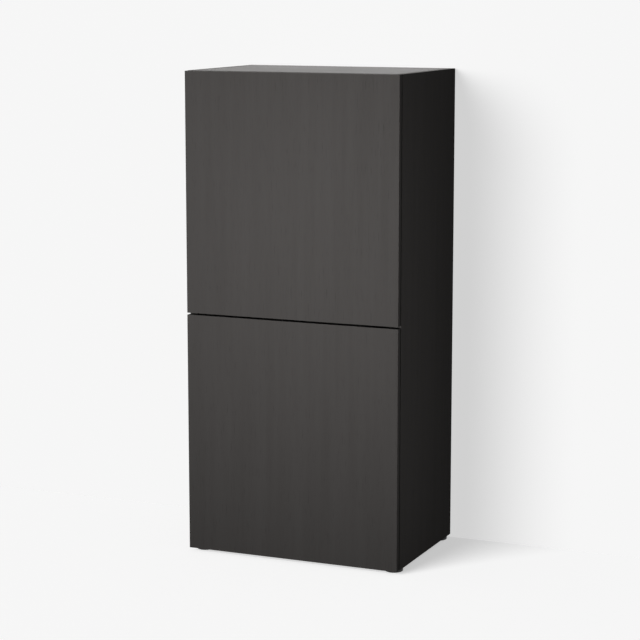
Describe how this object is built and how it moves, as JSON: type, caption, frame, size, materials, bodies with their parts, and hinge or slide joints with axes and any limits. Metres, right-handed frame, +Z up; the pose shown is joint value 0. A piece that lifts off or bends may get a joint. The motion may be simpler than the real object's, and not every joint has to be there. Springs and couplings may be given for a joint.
{
  "type": "shoe cabinet",
  "caption": "Tall free-standing shoe cabinet with stacked plain push-open doors on concealed hinges, loose shelves on pins, a grooved-in back and round glides under the corners.",
  "frame": {"origin": "centre of the overall bounding box on the floor under the glides, doors shut", "axes": "+X to the right as seen from the front, +Y to the rear, +Z up"},
  "size_m": [0.6, 0.41, 1.29],
  "materials": {
    "carcass_foil": "satin black-brown foil with a faint vertical wood grain",
    "door_foil": "satin black-brown foil with a faint vertical wood grain",
    "back_board": "dark coated fibreboard",
    "black_plastic": "matt",
    "foot_plastic": "matt",
    "beech": "raw",
    "zinc": "die-cast zinc",
    "nickel_steel": "nickel plated",
    "plain_steel": "zinc plated",
    "magnet": "plated",
    "bumper_rubber": "matt",
    "latch_plastic": "matt dark grey",
    "plunger_plastic": "matt grey"
  },
  "bodies": {
    "carcass": {"back_joining_strip": "black_plastic", "back_panel_lower": "back_board", "back_panel_upper": "back_board", "bottom_panel": "carcass_foil", "cam_bolts": "zinc", "cam_locks": "zinc", "foot_front_left": "foot_plastic", "foot_front_right": "foot_plastic", "foot_rear_left": "foot_plastic", "foot_rear_right": "foot_plastic", "hinge_arm_screws": "nickel_steel", "hinge_plate_screws": "nickel_steel", "latch_screws": "nickel_steel", "left_side_panel": "carcass_foil", "lower_hinge_arm_high": "nickel_steel", "lower_hinge_arm_low": "nickel_steel", "lower_hinge_plate_high": "nickel_steel", "lower_hinge_plate_low": "nickel_steel", "lower_latch_housing": "latch_plastic", "lower_latch_spring": "plain_steel", "lower_shelf_high": "carcass_foil", "lower_shelf_low": "carcass_foil", "middle_shelf": "carcass_foil", "right_side_panel": "carcass_foil", "shelf_pins": "nickel_steel", "top_panel": "carcass_foil", "upper_hinge_arm_high": "nickel_steel", "upper_hinge_arm_low": "nickel_steel", "upper_hinge_plate_high": "nickel_steel", "upper_hinge_plate_low": "nickel_steel", "upper_latch_housing": "latch_plastic", "upper_latch_spring": "plain_steel", "upper_shelf_high": "carcass_foil", "upper_shelf_low": "carcass_foil", "wall_bracket_left": "plain_steel", "wall_bracket_right": "plain_steel", "wall_bracket_screws": "nickel_steel", "wood_dowels": "beech"},
    "lower_door": {"lower_door": "door_foil", "lower_hinge_cup_low": "nickel_steel", "lower_hinge_cup_high": "nickel_steel", "lower_hinge_pins": "nickel_steel", "lower_cup_screws": "nickel_steel", "lower_door_striker": "plain_steel", "lower_door_bumpers": "bumper_rubber"},
    "lower_plunger": {"lower_latch_plunger": "plunger_plastic", "lower_latch_magnet": "magnet"},
    "upper_door": {"upper_door": "door_foil", "upper_hinge_cup_low": "nickel_steel", "upper_hinge_cup_high": "nickel_steel", "upper_hinge_pins": "nickel_steel", "upper_cup_screws": "nickel_steel", "upper_door_striker": "plain_steel", "upper_door_bumpers": "bumper_rubber"},
    "upper_plunger": {"upper_latch_plunger": "plunger_plastic", "upper_latch_magnet": "magnet"}
  },
  "joints": [
    {"name": "lower_door_hinge", "type": "hinge", "parent": "carcass", "child": "lower_door", "pos_m": [-0.291, -0.197, 0.329], "axis": [0, 0, -1], "range_deg": [0, 95]},
    {"name": "lower_plunger_slide", "type": "slide", "parent": "carcass", "child": "lower_plunger", "axis": [0, -1, 0], "range_m": [0, 0.037], "deforming": ["lower_latch_spring"]},
    {"name": "upper_door_hinge", "type": "hinge", "parent": "carcass", "child": "upper_door", "pos_m": [-0.291, -0.197, 0.971], "axis": [0, 0, -1], "range_deg": [0, 95]},
    {"name": "upper_plunger_slide", "type": "slide", "parent": "carcass", "child": "upper_plunger", "axis": [0, -1, 0], "range_m": [0, 0.037], "deforming": ["upper_latch_spring"]}
  ],
  "couplings": [
    {"joint": "lower_plunger_slide", "follows": "lower_door_hinge", "m_per_rad": 0.0223},
    {"joint": "upper_plunger_slide", "follows": "upper_door_hinge", "m_per_rad": 0.0223}
  ]
}
